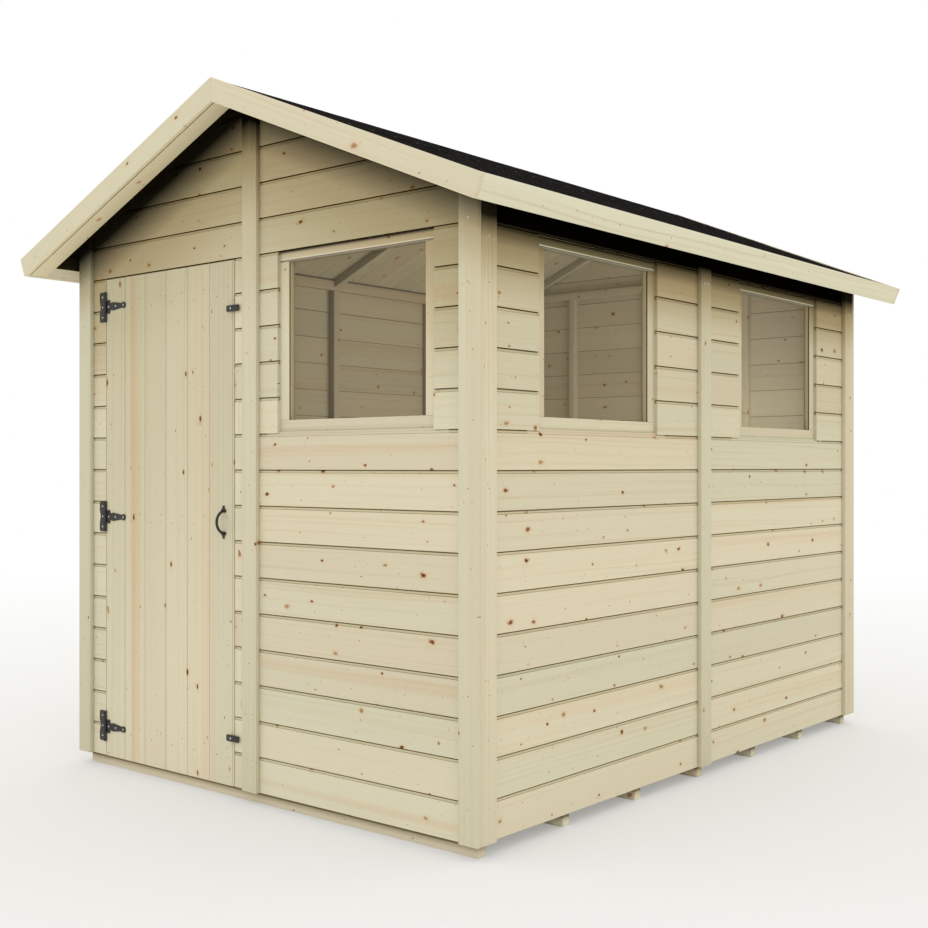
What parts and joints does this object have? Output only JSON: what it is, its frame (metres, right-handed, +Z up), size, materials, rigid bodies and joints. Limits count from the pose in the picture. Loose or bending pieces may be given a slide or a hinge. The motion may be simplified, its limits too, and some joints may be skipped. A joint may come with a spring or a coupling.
{
  "type": "garden shed",
  "caption": "Gable-roofed timber garden shed on bearers, with horizontal cladding, cover strips, a hinged boarded door, fixed windows and a black felt roof.",
  "frame": {"origin": "on the ground under the middle of the roof's outline", "axes": "+Z up, +Y from the door gable to the back, +X towards the side with windows"},
  "size_m": [2.134, 2.776, 2.254],
  "materials": {
    "timber": "planed pale softwood",
    "felt": "mineral roofing felt",
    "glazing": "clear",
    "ironwork": "black japanned"
  },
  "bodies": {
    "shed": {"floor_bearers": "timber", "floor_boards": "timber", "front_wall_beside_door": "timber", "front_gable": "timber", "front_wall_under_window": "timber", "front_wall_beside_window": "timber", "back_wall": "timber", "right_wall_under_windows": "timber", "right_wall_beside_windows": "timber", "right_wall_over_windows": "timber", "left_wall": "timber", "left_rails": "timber", "left_studs": "timber", "right_rails": "timber", "right_studs": "timber", "front_rails": "timber", "front_studs": "timber", "back_rails": "timber", "back_studs": "timber", "window_jambs": "timber", "window_heads": "timber", "window_sills": "timber", "front_strips": "timber", "back_strips": "timber", "left_strips": "timber", "right_strips": "timber", "roof_boards_left": "timber", "roof_boards_right": "timber", "left_barge_boards": "timber", "right_barge_boards": "timber", "eaves_fascias": "timber", "eaves_rails": "timber", "left_rafters": "timber", "right_rafters": "timber", "window_panes": "glazing", "roof_felt_left": "felt", "roof_felt_right": "felt", "hinge_plates": "ironwork"},
    "door": {"door_leaf": "timber", "door_ledges": "timber", "door_braces": "timber", "hinge_straps": "ironwork", "pull_handle": "ironwork"},
    "turn_button_top": {"turn_button_top": "ironwork"},
    "turn_button_bottom": {"turn_button_bottom": "ironwork"}
  },
  "joints": [
    {"name": "door_hinge", "type": "hinge", "parent": "shed", "child": "door", "pos_m": [-0.7855, -1.2243, 0.88275], "axis": [0, 0, -1], "range_deg": [0, 160]},
    {"name": "top_button_turn", "type": "hinge", "parent": "door", "child": "turn_button_top", "pos_m": [-0.097, -1.2243, 1.5705], "axis": [0, 1, 0], "range_deg": [0, 90]},
    {"name": "bottom_button_turn", "type": "hinge", "parent": "door", "child": "turn_button_bottom", "pos_m": [-0.097, -1.2243, 0.195], "axis": [0, 1, 0], "range_deg": [0, 90]}
  ]
}
